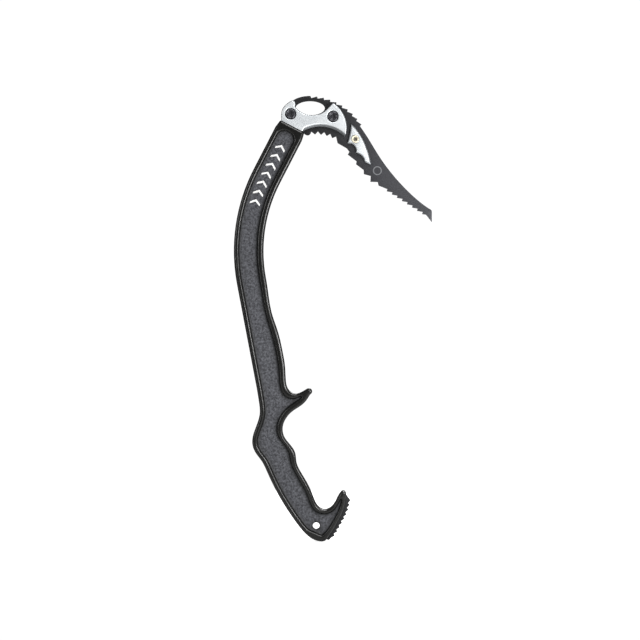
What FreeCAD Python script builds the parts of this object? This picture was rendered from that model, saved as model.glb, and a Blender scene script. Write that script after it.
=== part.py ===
import FreeCAD, Part
import math
import os
import Sketcher

from FreeCAD import Vector

# Leashless ice tool. The frame: origin at the centre of the tether hole in the pommel, on the
# tool's mid-plane; +Z up the handle to the head, +X towards the pick, Y across the thickness.
# The near side is -Y: the bolt heads are there and the nuts are on the +Y side.

os.makedirs("parts", exist_ok=True)
doc = FreeCAD.newDocument("IceTool")

# ---------------------------------------------------------------------------------------------
# Sizes, in millimetres and degrees

SIZES = [
    # handle
    ("lower_run", 119.0, "straight stretch of the rear edge above the grip"),
    ("lower_lean", 10.75, "degrees that this stretch leans back"),
    ("bow_radius", 200.0, "radius of the rear edge round the bow"),
    ("upper_run", 62.5, "straight stretch from the bow to the collar, where the rubber ends"),
    ("upper_lean", 27.3, "degrees that this stretch leans forward"),
    ("shaft_width", 33.0, "rear edge to front edge above the grip"),
    ("shaft_thick", 22.0, "overall thickness of the rubber"),
    ("rim_round", 2.4, "rounding of the rubber's outer edges"),
    ("collar_taper", 1.6, "how far the rubber draws in at the collar"),
    ("collar_run", 9.0, "length over which it draws in"),
    ("rear_rim", 5.7, "width of the raised rim along the rear edge"),
    ("front_rim", 7.0, "width of the raised rim along the front edge"),
    ("panel_depth", 4.0, "how deep the side panels are let in"),
    ("panel_head_gap", 7.5, "panel end to the collar"),
    ("panel_crown", 7.0, "height of the panel's rounded upper end"),
    ("tether_hole", 8.0, "diameter of the hole for a tether"),
    # forged core
    ("skin", 1.6, "rubber over the core's edges"),
    ("core_thick", 16.0, "thickness of the core's flanges and of the head"),
    ("web_thick", 4.0, "thickness of the core's web"),
    ("wall_skin", 1.1, "rubber between a flange and the panel's wall"),
    ("boss_thick", 9.0, "thickness of the core in the pommel"),
    ("hole_skin", 2.0, "rubber that lines the tether hole"),
    ("slot_play", 0.1, "play between a plate and each side of its slot"),
    ("slot_end_play", 0.3, "play between a plate's edge and the end of its slot"),
    ("slot_floor", 1.2, "floor of the head's slot above the collar"),
    ("belly_bevel", 3.6, "width of the bevel under the head"),
    ("belly_bevel_deep", 2.6, "depth of that bevel"),
    # pick
    ("pick_thick", 4.0, "steel plate"),
    ("arch_radius", 67.6, "root circle of the teeth over the head"),
    ("top_pitch", 7.57, "pitch of the teeth over the head"),
    ("top_depth", 2.4, "depth of the teeth over the head"),
    ("blade_reach", 111.1, "front bolt to the pick's tip, forward"),
    ("blade_drop", 118.1, "front bolt to the pick's tip, down"),
    ("saw_pitch", 6.75, "pitch of the fine teeth under the blade"),
    ("saw_depth", 2.5, "depth of the fine teeth"),
    ("loop_length", 32.8, "length of the clip loop"),
    ("loop_height", 15.8, "height of the clip loop"),
    # head fasteners
    ("bolt_above_collar", 11.2, "rear bolt to the collar"),
    ("bolt_from_rear", 8.5, "rear bolt to the line of the rear edge"),
    ("bolt_spacing", 47.4, "between the two head bolts"),
    ("bolt_shank", 6.0, "shank diameter of a head bolt"),
    ("bolt_head", 11.2, "head diameter of a head bolt and its nut"),
    ("bolt_head_tall", 3.0, "height of that head"),
    ("seat_depth", 2.0, "depth of the seat sunk into the head"),
    ("bolt_short", 0.6, "how far a head bolt ends inside its nut's outer face"),
    ("bolt_key", 5.0, "key size of the bolt's socket"),
    ("bolt_key_deep", 2.2, "depth of the socket"),
    ("sleeve_wall", 1.0, "wall of the nut's sleeve"),
    ("sleeve_short", 1.0, "gap from a nut's sleeve to the screw's head"),
    ("hole_play", 0.1, "radial play of sleeves and shanks in their holes"),
    # pick weights
    ("weight_thick", 4.0, "thickness of a pick weight"),
    ("weight_edge", 0.8, "chamfer round a weight's outer face"),
    ("screw_shank", 3.0, "shank diameter of the weight screw"),
    ("screw_head", 8.6, "head diameter of the weight screw and nut"),
    ("screw_head_tall", 2.0, "height of that head"),
    ("screw_short", 0.4, "how far the weight screw ends inside its nut's outer face"),
    ("screw_key", 3.4, "size of its star recess"),
    ("screw_key_deep", 1.2, "depth of the recess"),
    # pommel spike plate
    ("spike_thick", 4.0, "plate let into the pommel's outer edge"),
    ("spike_stand", 3.7, "how far the plate stands out of the rubber"),
    ("spike_tang", 7.0, "how far the plate reaches into the pommel"),
    ("spike_tooth", 2.0, "depth of its teeth"),
    ("spike_teeth", 9.0, "number of its teeth"),
    ("spike_pin", 3.0, "diameter of the pins through the tang"),
]

sheet = doc.addObject("Spreadsheet::Sheet", "Sizes")
for row, (alias, number, note) in enumerate(SIZES, start=1):
    sheet.set("A%d" % row, alias.replace("_", " "))
    sheet.set("B%d" % row, str(number))
    sheet.setAlias("B%d" % row, alias)
    sheet.set("C%d" % row, note)
doc.recompute()


def size(alias):
    return float(getattr(sheet, alias))


# ---------------------------------------------------------------------------------------------
# Drawing helpers. Outlines are drawn in the tool's side view, as pairs (x, z).

def flat(point):
    return Vector(point[0], point[1], 0)


def unit(vector):
    length = math.hypot(vector[0], vector[1])
    return (vector[0] / length, vector[1] / length)


def step(point, direction, distance):
    return (point[0] + direction[0] * distance, point[1] + direction[1] * distance)


def turned_right(direction):
    return (direction[1], -direction[0])


def lean(degrees):
    """Upward direction that leans forward by this angle."""
    return (math.sin(math.radians(degrees)), math.cos(math.radians(degrees)))


def line(start, end):
    return Part.LineSegment(flat(start), flat(end))


def arc(start, middle, end):
    return Part.Arc(flat(start), flat(middle), flat(end))


def polyline(points):
    return [line(a, b) for a, b in zip(points, points[1:])]


def curve(points, first=None, last=None):
    """Smooth curve through the points, with given end directions where they matter."""
    spline = Part.BSplineCurve()
    places = [flat(p) for p in points]
    if first is None:
        spline.interpolate(Points=places)
    else:
        spline.interpolate(Points=places, InitialTangent=flat(first), FinalTangent=flat(last),
                           Scale=False)
    return spline


def shifted(points, distance, first, last):
    """The points moved to the right of their direction of travel, square to the curve."""
    moved = []
    for number, point in enumerate(points):
        if number == 0:
            along = first
        elif number == len(points) - 1:
            along = last
        else:
            before, after = points[number - 1], points[number + 1]
            along = unit((after[0] - before[0], after[1] - before[1]))
        moved.append(step(point, turned_right(unit(along)), distance))
    return moved


# ---------------------------------------------------------------------------------------------
# Layout of the handle. Its rear edge runs straight up from the grip, round the bow and straight
# on to the collar; the front edge follows it at the shaft's width.

BACK = lean(-size("lower_lean"))
FORE = lean(size("upper_lean"))
DOWN_BACK = (-BACK[0], -BACK[1])
GRIP_TOP = (-66.6, 153.8)
BOW_START = step(GRIP_TOP, BACK, size("lower_run"))
BOW_CENTRE = step(BOW_START, turned_right(BACK), size("bow_radius"))
BOW_END = step(BOW_CENTRE, turned_right(FORE), -size("bow_radius"))


def collar(up, across):
    """Point this far above the collar and this far forward of the rear edge's line."""
    return step(step(BOW_END, FORE, size("upper_run") + up), turned_right(FORE), across)


# The head is drawn from its bolts, and turns with the handle's upper stretch
REAR_BOLT = collar(size("bolt_above_collar"), size("bolt_from_rear"))
HEAD_SET = 27.3
HEAD_TURN = math.radians(size("upper_lean") - HEAD_SET)
BOLT_DROP = math.radians(3.4)


def head(across, up):
    """Point from a place measured forward and up from the rear bolt."""
    return (REAR_BOLT[0] + across * math.cos(HEAD_TURN) + up * math.sin(HEAD_TURN),
            REAR_BOLT[1] + up * math.cos(HEAD_TURN) - across * math.sin(HEAD_TURN))


def front(across, up):
    """Point from a place measured forward and up from the front bolt."""
    return head(size("bolt_spacing") * math.cos(BOLT_DROP) + across,
                up - size("bolt_spacing") * math.sin(BOLT_DROP))


FRONT_BOLT = front(0.0, 0.0)

# Rear of the grip and pommel, downward: waist, palm swell, pommel
GRIP_REAR = [GRIP_TOP, (-64.3, 139.5), (-63.2, 126.8), (-66.6, 113.4), (-70.9, 101.0),
             (-71.6, 92.0), (-68.6, 83.0), (-61.4, 73.0), (-54.6, 59.5), (-41.1, 32.5),
             (-23.7, 5.6), (-12.7, -7.9), (-2.4, -15.4), (7.4, -17.4)]
POMMEL_WAY = (1.0, 0.0)

# Outer edge of the hook, upward: the spike plate stands out of it
HOOK_OUTER = [(10.6, -16.2), (14.2, -10.6), (18.4, -4.3), (23.6, 5.0), (28.2, 13.6),
              (31.9, 24.8), (33.5, 35.0)]
HOOK_LOW = unit((0.58, 0.82))
HOOK_UP = unit((0.12, 1.0))
HOOK_TOP = (31.9, 38.9)

# Inner edge of the hook, the front of the grip and the trigger's underside, upward
GRIP_FRONT = [(28.3, 38.6), (25.4, 34.9), (21.8, 27.7), (16.7, 20.9), (9.5, 18.1),
              (3.1, 20.8), (-1.9, 28.5), (-6.2, 39.5), (-12.6, 51.7), (-18.3, 61.2),
              (-22.2, 70.5), (-23.6, 81.0), (-29.6, 90.8), (-36.0, 99.5), (-37.8, 109.2),
              (-33.9, 120.2), (-26.0, 128.8), (-15.0, 136.3), (-7.0, 147.0)]
GRIP_FRONT_LOW = unit((-0.62, -0.78))
GRIP_FRONT_UP = unit((0.45, 0.89))
TRIGGER_TOP = (-4.9, 152.2)

# Top of the trigger and the front of the grip above it, upward to its swell
GRIP_UPPER = [(-9.8, 153.8), (-16.5, 149.8), (-24.4, 148.1), (-31.2, 152.6), (-34.2, 163.0),
              (-35.0, 178.0), (-37.6, 194.2), (-40.4, 207.6), (-44.2, 221.1), (-49.3, 236.0)]
TRIGGER_WAY = unit((-0.86, -0.51))
SWELL_WAY = lean(-18.0)


def bow(inset):
    """Start, middle and end of the bow at this distance in from the rear edge."""
    radius = size("bow_radius") - inset
    middle = lean((size("upper_lean") - size("lower_lean")) / 2)
    return [step(BOW_CENTRE, turned_right(way), -radius) for way in (BACK, middle, FORE)]


def rear_edge(inset, below_collar):
    """Curves down the rear edge to the grip, from this distance below the collar."""
    low, middle, high = bow(inset)
    start = step(GRIP_TOP, turned_right(DOWN_BACK), -inset)
    return [line(collar(-below_collar, inset), high), arc(high, middle, low), line(low, start)]


def front_edge(inset, below_collar):
    """Curves up the front edge from the bow, to this distance below the collar."""
    across = size("shaft_width") - inset
    low, middle, high = bow(across)
    return [arc(low, middle, high), line(high, collar(-below_collar, across))]


def start_of(geometry):
    return (geometry.StartPoint.x, geometry.StartPoint.y)


def end_of(geometry):
    return (geometry.EndPoint.x, geometry.EndPoint.y)


def closed(curves):
    """The curves with straight lines across any gap between one and the next."""
    ring = []
    for number, geometry in enumerate(curves):
        following = curves[(number + 1) % len(curves)]
        ring.append(geometry)
        if math.dist(end_of(geometry), start_of(following)) > 1e-6:
            ring.append(line(end_of(geometry), start_of(following)))
    return ring


def handle_outline(inset, below_collar, top):
    """Outline of the handle, or of a shape this far inside it, with its top edge's points."""
    grip = shifted(GRIP_REAR, -inset, DOWN_BACK, POMMEL_WAY)
    outer = shifted(HOOK_OUTER, -inset, HOOK_LOW, HOOK_UP)
    inner = shifted(GRIP_FRONT, -inset, GRIP_FRONT_LOW, GRIP_FRONT_UP)
    upper = shifted(GRIP_UPPER, -inset, TRIGGER_WAY, SWELL_WAY)
    front_side = front_edge(inset, below_collar)
    hook_top = step(HOOK_TOP, (-0.33, -0.94), inset)
    trigger_top = step(TRIGGER_TOP, (-0.8, -0.6), inset)
    return closed(rear_edge(inset, below_collar)
                  + [curve(grip, DOWN_BACK, POMMEL_WAY)]
                  + [curve(outer, HOOK_LOW, HOOK_UP), arc(outer[-1], hook_top, inner[0])]
                  + [curve(inner, GRIP_FRONT_LOW, GRIP_FRONT_UP)]
                  + [arc(inner[-1], trigger_top, upper[0])]
                  + [curve(upper + [start_of(front_side[0])], TRIGGER_WAY, BACK)]
                  + front_side + polyline(top))


# The side panel in the grip, upward: along the hook's outer edge, then from the hook's tip round
# to the tongue in the trigger, then on from the tongue to the swell
PANEL_HOOK = [(6.4, -10.4), (14.2, -2.0), (19.7, 7.0), (24.2, 15.8), (27.6, 25.0), (28.9, 31.2)]
PANEL_FRONT = [(27.9, 31.6), (24.6, 25.6), (18.9, 17.7), (10.0, 13.8), (0.6, 16.0),
               (-6.2, 24.5), (-10.8, 37.0), (-17.4, 49.0), (-24.0, 61.0), (-28.2, 71.0),
               (-30.5, 82.5), (-35.8, 91.5), (-42.0, 100.0), (-44.2, 109.5), (-40.4, 122.0),
               (-32.0, 132.5), (-23.4, 138.8), (-16.8, 143.4), (-12.0, 147.8)]
PANEL_UPPER = [(-12.6, 148.6), (-19.0, 145.0), (-26.0, 142.6), (-35.2, 146.0),
               (-40.2, 157.0), (-41.6, 172.0),
               (-44.2, 191.5), (-47.2, 205.5), (-51.0, 219.0), (-56.0, 236.0)]
PANEL_POMMEL_WAY = unit((0.72, -0.69))


def panel_outline(grow):
    """Outline of the side panel, or of a shape this much larger all round."""
    below = size("panel_head_gap") + size("panel_crown")
    rear = rear_edge(size("rear_rim") - grow, below)
    front_side = front_edge(size("front_rim") - grow, below)
    grip = shifted(GRIP_REAR[:-2], grow - size("rear_rim"), DOWN_BACK, PANEL_POMMEL_WAY)
    hook = shifted(PANEL_HOOK, grow, unit((0.68, 0.73)), unit((0.2, 1.0)))
    lower = shifted(PANEL_FRONT, grow, unit((-0.45, -0.9)), unit((0.75, 0.65)))
    upper = shifted(PANEL_UPPER, grow, unit((-0.93, -0.37)), SWELL_WAY)
    middle = (size("rear_rim") + size("shaft_width") - size("front_rim")) / 2
    crown = collar(grow - size("panel_head_gap"), middle)
    return closed(rear
                  + [curve(grip, DOWN_BACK, PANEL_POMMEL_WAY)]
                  + [curve(hook), curve(lower)]
                  + [curve(upper + [start_of(front_side[0])], unit((-0.93, -0.37)), BACK)]
                  + front_side
                  + [arc(end_of(front_side[-1]), crown, start_of(rear[0]))])


# ---------------------------------------------------------------------------------------------
# Outlines of the head, the pick, its weights and the spike plate

CHEEK_NECK = 5.5
CHEEK_IN_REAR = 2.4
CHEEK_IN_FRONT = 3.6


def belly():
    """Arched lower edge of the head, from its front tip back to the collar."""
    across = size("shaft_width") - CHEEK_IN_FRONT
    return arc(front(13.3, -22.5), front(-13.0, -11.3), collar(0.0, across))


def cheek_outline():
    """Outline of the forked head, bone shaped, with its neck run down into the handle."""
    across = size("shaft_width") - CHEEK_IN_FRONT
    rear = [collar(0.0, CHEEK_IN_REAR), head(-10.6, 0.2), head(-8.9, 6.2), head(-4.6, 11.2),
            head(1.4, 15.2)]
    nose = [front(0.2, 15.2), front(9.7, 6.2), front(14.2, -2.9), front(15.7, -12.3),
            front(14.6, -19.6), front(13.3, -22.5)]
    return closed([line(collar(-CHEEK_NECK, CHEEK_IN_REAR), rear[0]), curve(rear),
                   arc(rear[-1], head(2.9, 15.0), head(4.6, 8.6)),
                   arc(head(4.6, 8.6), head(21.9, -1.2), front(-9.3, 5.7)),
                   line(front(-9.3, 5.7), nose[0]),
                   curve(nose),
                   belly(),
                   line(collar(0.0, across), collar(-CHEEK_NECK, across))])


LOOP_CENTRE = (21.8, 6.9)
ARCH_CENTRE = (20.6, -49.3)
ARCH_START = 88.7
ARCH_TEETH = 10
SMALL_CENTRE = (28.6, -64.3)
SMALL_ROOT = 45.3
SMALL_TIP = 41.7
SMALL_START = 91.6
SMALL_STEP = 9.0
SMALL_TEETH = 4
TIP = (size("blade_reach"), -size("blade_drop"))

# The four big steps behind the fine teeth: each notch's corner and the point below it,
# measured from the front bolt
STEPS = [(18.5, -39.3), (16.6, -42.2), (26.6, -49.9), (25.9, -53.1), (34.6, -59.6),
         (34.7, -64.2), (42.4, -66.3), (42.1, -72.9), (50.4, -73.1), (51.2, -77.0)]
SAW_START = (60.3, -83.5)
SAW_END = (-11.1, 9.0)
SAW_RAKE = 0.6  # how far a tooth's steep side leans back over its depth


def about(centre, angle, radius):
    """Point on a circle of the head; the angle is counted up from straight forward."""
    turn = math.radians(angle)
    return head(centre[0] + radius * math.cos(turn), centre[1] + radius * math.sin(turn))


def arch_teeth():
    """Teeth along the top, from the rear: a slow rise to each point and a steep drop."""
    tip_radius = size("arch_radius") + size("top_depth")
    pitch = math.degrees(size("top_pitch") / tip_radius)
    points = []
    for tooth in range(ARCH_TEETH):
        angle = ARCH_START - pitch * tooth
        points.append(about(ARCH_CENTRE, angle, tip_radius))
        points.append(about(ARCH_CENTRE, angle - 0.12 * pitch, size("arch_radius")))
    return points


def small_teeth():
    """Teeth under the head, from the front back to the neck."""
    points = []
    for tooth in reversed(range(SMALL_TEETH)):
        angle = SMALL_START - SMALL_STEP * tooth
        points.append(about(SMALL_CENTRE, angle - 0.45 * SMALL_STEP, SMALL_ROOT))
        points.append(about(SMALL_CENTRE, angle, SMALL_TIP))
    points.append(about(SMALL_CENTRE, SMALL_START + 0.6 * SMALL_STEP, SMALL_ROOT))
    return points


def saw_teeth():
    """Fine teeth under the blade, from the tip back: the steep side faces the handle."""
    start = front(TIP[0] + SAW_END[0], TIP[1] + SAW_END[1])
    finish = front(*SAW_START)
    length = math.dist(start, finish)
    back = unit((finish[0] - start[0], finish[1] - start[1]))
    inward = turned_right(back)
    count = round(length / size("saw_pitch"))
    points = [start]
    for tooth in range(count):
        place = step(start, back, length * tooth / count + SAW_RAKE)
        points.append(step(place, inward, size("saw_depth")))
        points.append(step(start, back, length * (tooth + 1) / count))
    points.append(step(step(finish, back, SAW_RAKE), inward, size("saw_depth")))
    return points


def blade(across, up):
    """Point measured from the pick's tip."""
    return front(TIP[0] + across, TIP[1] + up)


def pick_outline():
    """Outline of the pick, from the rear foot of its arch along the top to the tip and back."""
    inner = size("slot_floor") + size("slot_end_play")
    top = arch_teeth()
    foot = [collar(inner, 7.5), head(-8.3, -2.0), head(-8.0, 4.3), head(-3.8, 9.9),
            head(2.9, 15.9), head(9.5, 18.9), top[0]]
    back = [top[-1], front(40.1, -24.8), front(52.3, -44.7), blade(-27.0, 34.8),
            blade(-14.2, 23.2), blade(-2.6, 14.8)]
    nose = [back[-1], blade(-0.6, 13.4), blade(0.0, 11.6)]
    under = [front(x, z) for x, z in reversed(STEPS)]
    neck = small_teeth()
    heel = [neck[-1], head(17.9, -23.4), head(14.6, -20.9), collar(inner, 29.2)]
    return closed([curve(foot)] + polyline(top) + [curve(back), arc(*nose)]
                  + [line(nose[-1], blade(0.0, 0.0)), line(blade(0.0, 0.0), blade(-6.6, 8.3))]
                  + polyline(saw_teeth())
                  + polyline(under + [front(15.7, -35.4), front(5.2, -29.4), neck[0]])
                  + polyline(neck)
                  + [curve(heel)])


def spike_slot_outline():
    """Room for the spike plate's tang, open past the pommel's outer edge."""
    deep = size("spike_tang") + size("slot_end_play")
    tang = shifted(HOOK_OUTER, -deep, HOOK_LOW, HOOK_UP)
    outer = shifted(HOOK_OUTER, size("spike_stand"), HOOK_LOW, HOOK_UP)
    return closed([curve(tang), curve(outer[::-1])])


WEIGHT_SCREW = front(25.0, -25.4)


def weight_outline():
    """Crescent along the pick's back, with two scallops in its lower edge."""
    outer = [front(20.5, -8.3), front(29.2, -18.3), front(37.5, -34.4), front(42.7, -54.1)]
    inner = [front(16.3, -29.9), front(19.2, -19.6), front(20.5, -8.3)]
    return closed([curve(outer), line(outer[-1], front(35.6, -50.5)),
                   arc(front(35.6, -50.5), front(32.4, -43.8), front(25.8, -40.5)),
                   line(front(25.8, -40.5), front(26.3, -37.6)),
                   arc(front(26.3, -37.6), front(24.4, -33.0), front(20.1, -29.9)),
                   line(front(20.1, -29.9), inner[0]), curve(inner)])


def along(points, fraction):
    """Place and direction at this fraction of a smooth curve's length."""
    spline = curve(points, HOOK_LOW, HOOK_UP)
    place = spline.parameterAtDistance(spline.length() * fraction, spline.FirstParameter)
    point, way = spline.value(place), spline.tangent(place)[0]
    return (point.x, point.y), (way.x, way.y)


# Where its teeth start and end, as shares of the hook's outer edge, and where its lower edge
# starts inside the rubber: up the hook's edge and in from it
SPIKE_FROM = 0.1
SPIKE_TO = 0.93
SPIKE_FOOT = (0.6, 1.2)
SPIKE_RAKE = 0.7  # share of a tooth's pitch from its root up to its tip


def spike_outline():
    """Outline of the spike plate: toothed edge outside, tang inside the pommel."""
    root = shifted(HOOK_OUTER, size("spike_stand"), HOOK_LOW, HOOK_UP)
    tang = shifted(HOOK_OUTER, -size("spike_tang"), HOOK_LOW, HOOK_UP)
    count = int(size("spike_teeth"))
    pitch = (SPIKE_TO - SPIKE_FROM) / count
    up, inward = SPIKE_FOOT
    foot = step(step(HOOK_OUTER[0], HOOK_LOW, up), turned_right(HOOK_LOW), -inward)
    points = [foot, (HOOK_OUTER[0][0] + size("spike_stand"), HOOK_OUTER[0][1])]
    for tooth in range(count):
        low, way = along(root, SPIKE_FROM + pitch * tooth)
        tip, way = along(root, SPIKE_FROM + pitch * (tooth + SPIKE_RAKE))
        points.append(low)
        points.append(step(tip, turned_right(way), size("spike_tooth")))
    points.append(along(root, SPIKE_TO)[0])
    points.append(HOOK_OUTER[-1])
    inner = tang[1:-1]
    return closed(polyline(points) + [curve(inner[::-1])])


# ---------------------------------------------------------------------------------------------
# Feature helpers

def new_body(label):
    body = doc.addObject("PartDesign::Body", label)
    body.Label = label
    return body


def new_sketch(body, name, curves):
    """Sketch on the body's own XZ plane, the tool's mid-plane."""
    drawn = body.newObject("Sketcher::SketchObject", name)
    plane = next(f for f in body.Origin.OriginFeatures if f.Role == "XZ_Plane")
    drawn.AttachmentSupport = (plane, [""])
    drawn.MapMode = "FlatFace"
    for geometry in curves:
        drawn.addGeometry(geometry, False)
    return drawn


def pad_about_middle(body, name, curves, thickness):
    """Plate of this thickness, an expression, centred on the mid-plane."""
    pad = body.newObject("PartDesign::Pad", name)
    pad.Profile = new_sketch(body, name + "_outline", curves)
    pad.SideType = "Symmetric"
    pad.setExpression("Length", thickness)
    doc.recompute()
    return pad


def hole(body, name, centre, radius, depth):
    """Round hole right through; radius and depth are expressions."""
    before = body.Shape.Volume
    drawn = new_sketch(body, name + "_circle", [Part.Circle(flat(centre), Vector(0, 0, 1), 1)])
    drawn.addConstraint(Sketcher.Constraint("Radius", 0, 1.0))
    drawn.setExpression("Constraints[0]", radius)
    pocket = body.newObject("PartDesign::Pocket", name)
    pocket.Profile = drawn
    pocket.SideType = "Symmetric"
    pocket.setExpression("Length", depth)
    doc.recompute()
    if body.Shape.Volume > before - 1.0:
        raise RuntimeError(name + " cuts nothing")


def edges_at(shape, depth, curves):
    """Names of the edges at this distance from the mid-plane that lie on these curves."""
    near = Part.Compound([geometry.toShape() for geometry in curves])
    near.rotate(Vector(0, 0, 0), Vector(1, 0, 0), 90)
    names = []
    for number, edge in enumerate(shape.Edges, start=1):
        middle = edge.valueAt((edge.FirstParameter + edge.LastParameter) / 2)
        if abs(abs(middle.y) - depth) > 1e-4 or edge.BoundBox.YLength > 1e-4:
            continue
        on_plane = Part.Vertex(middle.x, 0, middle.z)
        if near.distToShape(on_plane)[0] < 0.05:
            names.append("Edge%d" % number)
    return names


def bar(name, centre, start, length, radius):
    """Cylinder across the tool from y = start towards the far side; sizes are expressions."""
    made = doc.addObject("Part::Cylinder", name)
    turn = FreeCAD.Rotation(Vector(1, 0, 0), -90)
    made.Placement = FreeCAD.Placement(Vector(centre[0], 0, centre[1]), turn)
    made.setExpression("Placement.Base.y", start)
    made.setExpression("Height", length)
    made.setExpression("Radius", radius)
    return made


def joined(name, pieces):
    made = doc.addObject("Part::MultiFuse", name)
    made.Shapes = pieces
    return made


def cut(name, base, tool):
    made = doc.addObject("Part::Cut", name)
    made.Base = base
    made.Tool = tool
    made.Label = name
    return made


PIECES = []

# ---------------------------------------------------------------------------------------------
# Pick: one steel plate, with the clip loop and the holes for its three fasteners

pick = new_body("pick")
loop_ends = [flat(head(LOOP_CENTRE[0] + size("loop_length") / 2, LOOP_CENTRE[1])),
             flat(head(LOOP_CENTRE[0], LOOP_CENTRE[1] + size("loop_height") / 2)),
             flat(head(*LOOP_CENTRE))]
pad_about_middle(pick, "pick_plate", pick_outline() + [Part.Ellipse(*loop_ends)],
                 "Sizes.pick_thick")
SLEEVE_HOLE = "Sizes.bolt_shank / 2 + Sizes.sleeve_wall + Sizes.hole_play"
SCREW_HOLE = "Sizes.screw_shank / 2 + Sizes.sleeve_wall + Sizes.hole_play"
hole(pick, "pick_rear_hole", REAR_BOLT, SLEEVE_HOLE, "2 * Sizes.pick_thick")
hole(pick, "pick_front_hole", FRONT_BOLT, SLEEVE_HOLE, "2 * Sizes.pick_thick")
hole(pick, "pick_weight_hole", WEIGHT_SCREW, SCREW_HOLE, "2 * Sizes.pick_thick")
PIECES.append(pick)

# ---------------------------------------------------------------------------------------------
# Pommel spike plate

PIN_DEPTH = 4.6
pin_line = shifted(HOOK_OUTER, -PIN_DEPTH, HOOK_LOW, HOOK_UP)
SPIKE_PINS = [("spike_pin_lower", along(pin_line, 0.3)[0]),
              ("spike_pin_upper", along(pin_line, 0.66)[0])]
spike_plate = new_body("spike_plate")
pad_about_middle(spike_plate, "spike_blade", spike_outline(), "Sizes.spike_thick")
for label, place in SPIKE_PINS:
    hole(spike_plate, label + "_hole", place, "Sizes.spike_pin / 2 + Sizes.hole_play",
         "2 * Sizes.spike_thick")
PIECES.append(spike_plate)

# ---------------------------------------------------------------------------------------------
# Forged core: a thin web and thick flanges under the rubber, a plain boss in the pommel, and the
# forked head

# Boss in the pommel, from its rear round the bottom and up the hook
BOSS = [(-33.0, 31.0), (-20.0, 9.0), (-9.6, -4.6), (-1.0, -10.8), (7.4, -13.4), (12.5, -9.0),
        (17.1, -2.7), (22.2, 6.5), (26.5, 14.9), (29.4, 25.6), (30.2, 34.0), (27.6, 33.6),
        (19.6, 21.0), (9.8, 14.6), (0.2, 16.8), (-6.8, 27.0), (-10.6, 37.0)]
core_form = new_body("core_form")
HEAD_OVERLAP = 2.6  # the forged head's outline reaches down over the buried part this far
core_top = size("slot_floor") + HEAD_OVERLAP
pad_about_middle(core_form, "web", handle_outline(size("skin"), core_top, []),
                 "Sizes.web_thick")
pad_about_middle(core_form, "flanges",
                 handle_outline(size("skin"), core_top, []) + panel_outline(size("wall_skin")),
                 "Sizes.core_thick")
pad_about_middle(core_form, "boss", closed(polyline(BOSS)), "Sizes.boss_thick")
cheeks = pad_about_middle(core_form, "cheeks", cheek_outline(), "Sizes.core_thick")
bevel = core_form.newObject("PartDesign::Chamfer", "belly_bevel")
bevel.Base = (cheeks, edges_at(cheeks.Shape, size("core_thick") / 2, [belly()]))
bevel.ChamferType = "Two distances"
bevel.setExpression("Size", "Sizes.belly_bevel")
bevel.setExpression("Size2", "Sizes.belly_bevel_deep")
doc.recompute()

slot = new_body("head_slot")
slot_corners = [collar(size("slot_floor"), -30), collar(size("slot_floor"), 150),
                collar(120, 150), collar(120, -30)]
pad_about_middle(slot, "slot_block", closed(polyline(slot_corners)),
                 "Sizes.pick_thick + 2 * Sizes.slot_play")
# The heel dips below the slot's floor, so its own outline is cleared from the core and the rubber
heel_relief = new_body("heel_relief")
pad_about_middle(heel_relief, "heel_relief_block", pick_outline(),
                 "Sizes.pick_thick + 2 * Sizes.slot_play")
spike_slot = new_body("spike_slot")
pad_about_middle(spike_slot, "spike_slot_block", spike_slot_outline(),
                 "Sizes.spike_thick + 2 * Sizes.slot_play")

SEAT = "Sizes.core_thick / 2 - Sizes.seat_depth"
seats = []
for label, centre in (("rear", REAR_BOLT), ("front", FRONT_BOLT)):
    seats.append(bar(label + "_through", centre, "-Sizes.core_thick", "2 * Sizes.core_thick",
                     SLEEVE_HOLE))
    seats.append(bar(label + "_near_seat", centre, "-Sizes.core_thick",
                     "Sizes.core_thick - (" + SEAT + ")",
                     "Sizes.bolt_head / 2 + 3 * Sizes.hole_play"))
    seats.append(bar(label + "_far_seat", centre, SEAT, "Sizes.core_thick",
                     "Sizes.bolt_head / 2 + 3 * Sizes.hole_play"))
for label, place in SPIKE_PINS:
    seats.append(bar(label + "_bore", place, "-Sizes.core_thick", "2 * Sizes.core_thick",
                     "Sizes.spike_pin / 2 + Sizes.hole_play"))
lined_hole = bar("lined_tether_hole", (0, 0), "-Sizes.core_thick", "2 * Sizes.core_thick",
                 "Sizes.tether_hole / 2 + Sizes.hole_skin")
core_cuts = joined("core_cuts", [slot, heel_relief, spike_slot, lined_hole] + seats)
shaft_core = cut("shaft_core", core_form, core_cuts)
PIECES.append(shaft_core)

# ---------------------------------------------------------------------------------------------
# Rubber over the core: a thinner panel inside a raised, rounded rim

overmold_form = new_body("overmold_form")
collar_top = [collar(-size("collar_run"), size("shaft_width")),
              collar(0.0, size("shaft_width") - size("collar_taper")),
              collar(0.0, size("collar_taper")), collar(-size("collar_run"), 0.0)]
outside = handle_outline(0.0, size("collar_run"), collar_top)
pad_about_middle(overmold_form, "panel_floor", outside,
                 "Sizes.shaft_thick - 2 * Sizes.panel_depth")
rim = pad_about_middle(overmold_form, "rim", outside + panel_outline(0.0), "Sizes.shaft_thick")
rounded = overmold_form.newObject("PartDesign::Fillet", "rim_rounding")
rounded.Base = (rim, edges_at(rim.Shape, size("shaft_thick") / 2, outside))
rounded.setExpression("Radius", "Sizes.rim_round")
doc.recompute()
hole(overmold_form, "tether_bore", (0, 0), "Sizes.tether_hole / 2", "2 * Sizes.shaft_thick")
inside_rubber = joined("inside_rubber", [core_form, spike_plate])
lining = bar("hole_lining", (0, 0), "-Sizes.boss_thick / 2", "Sizes.boss_thick",
             "Sizes.tether_hole / 2 + Sizes.hole_skin")
inside_open = cut("inside_open", inside_rubber, lining)
rubber_cuts = joined("rubber_cuts", [inside_open, heel_relief])
shaft_overmold = cut("shaft_overmold", overmold_form, rubber_cuts)
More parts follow.
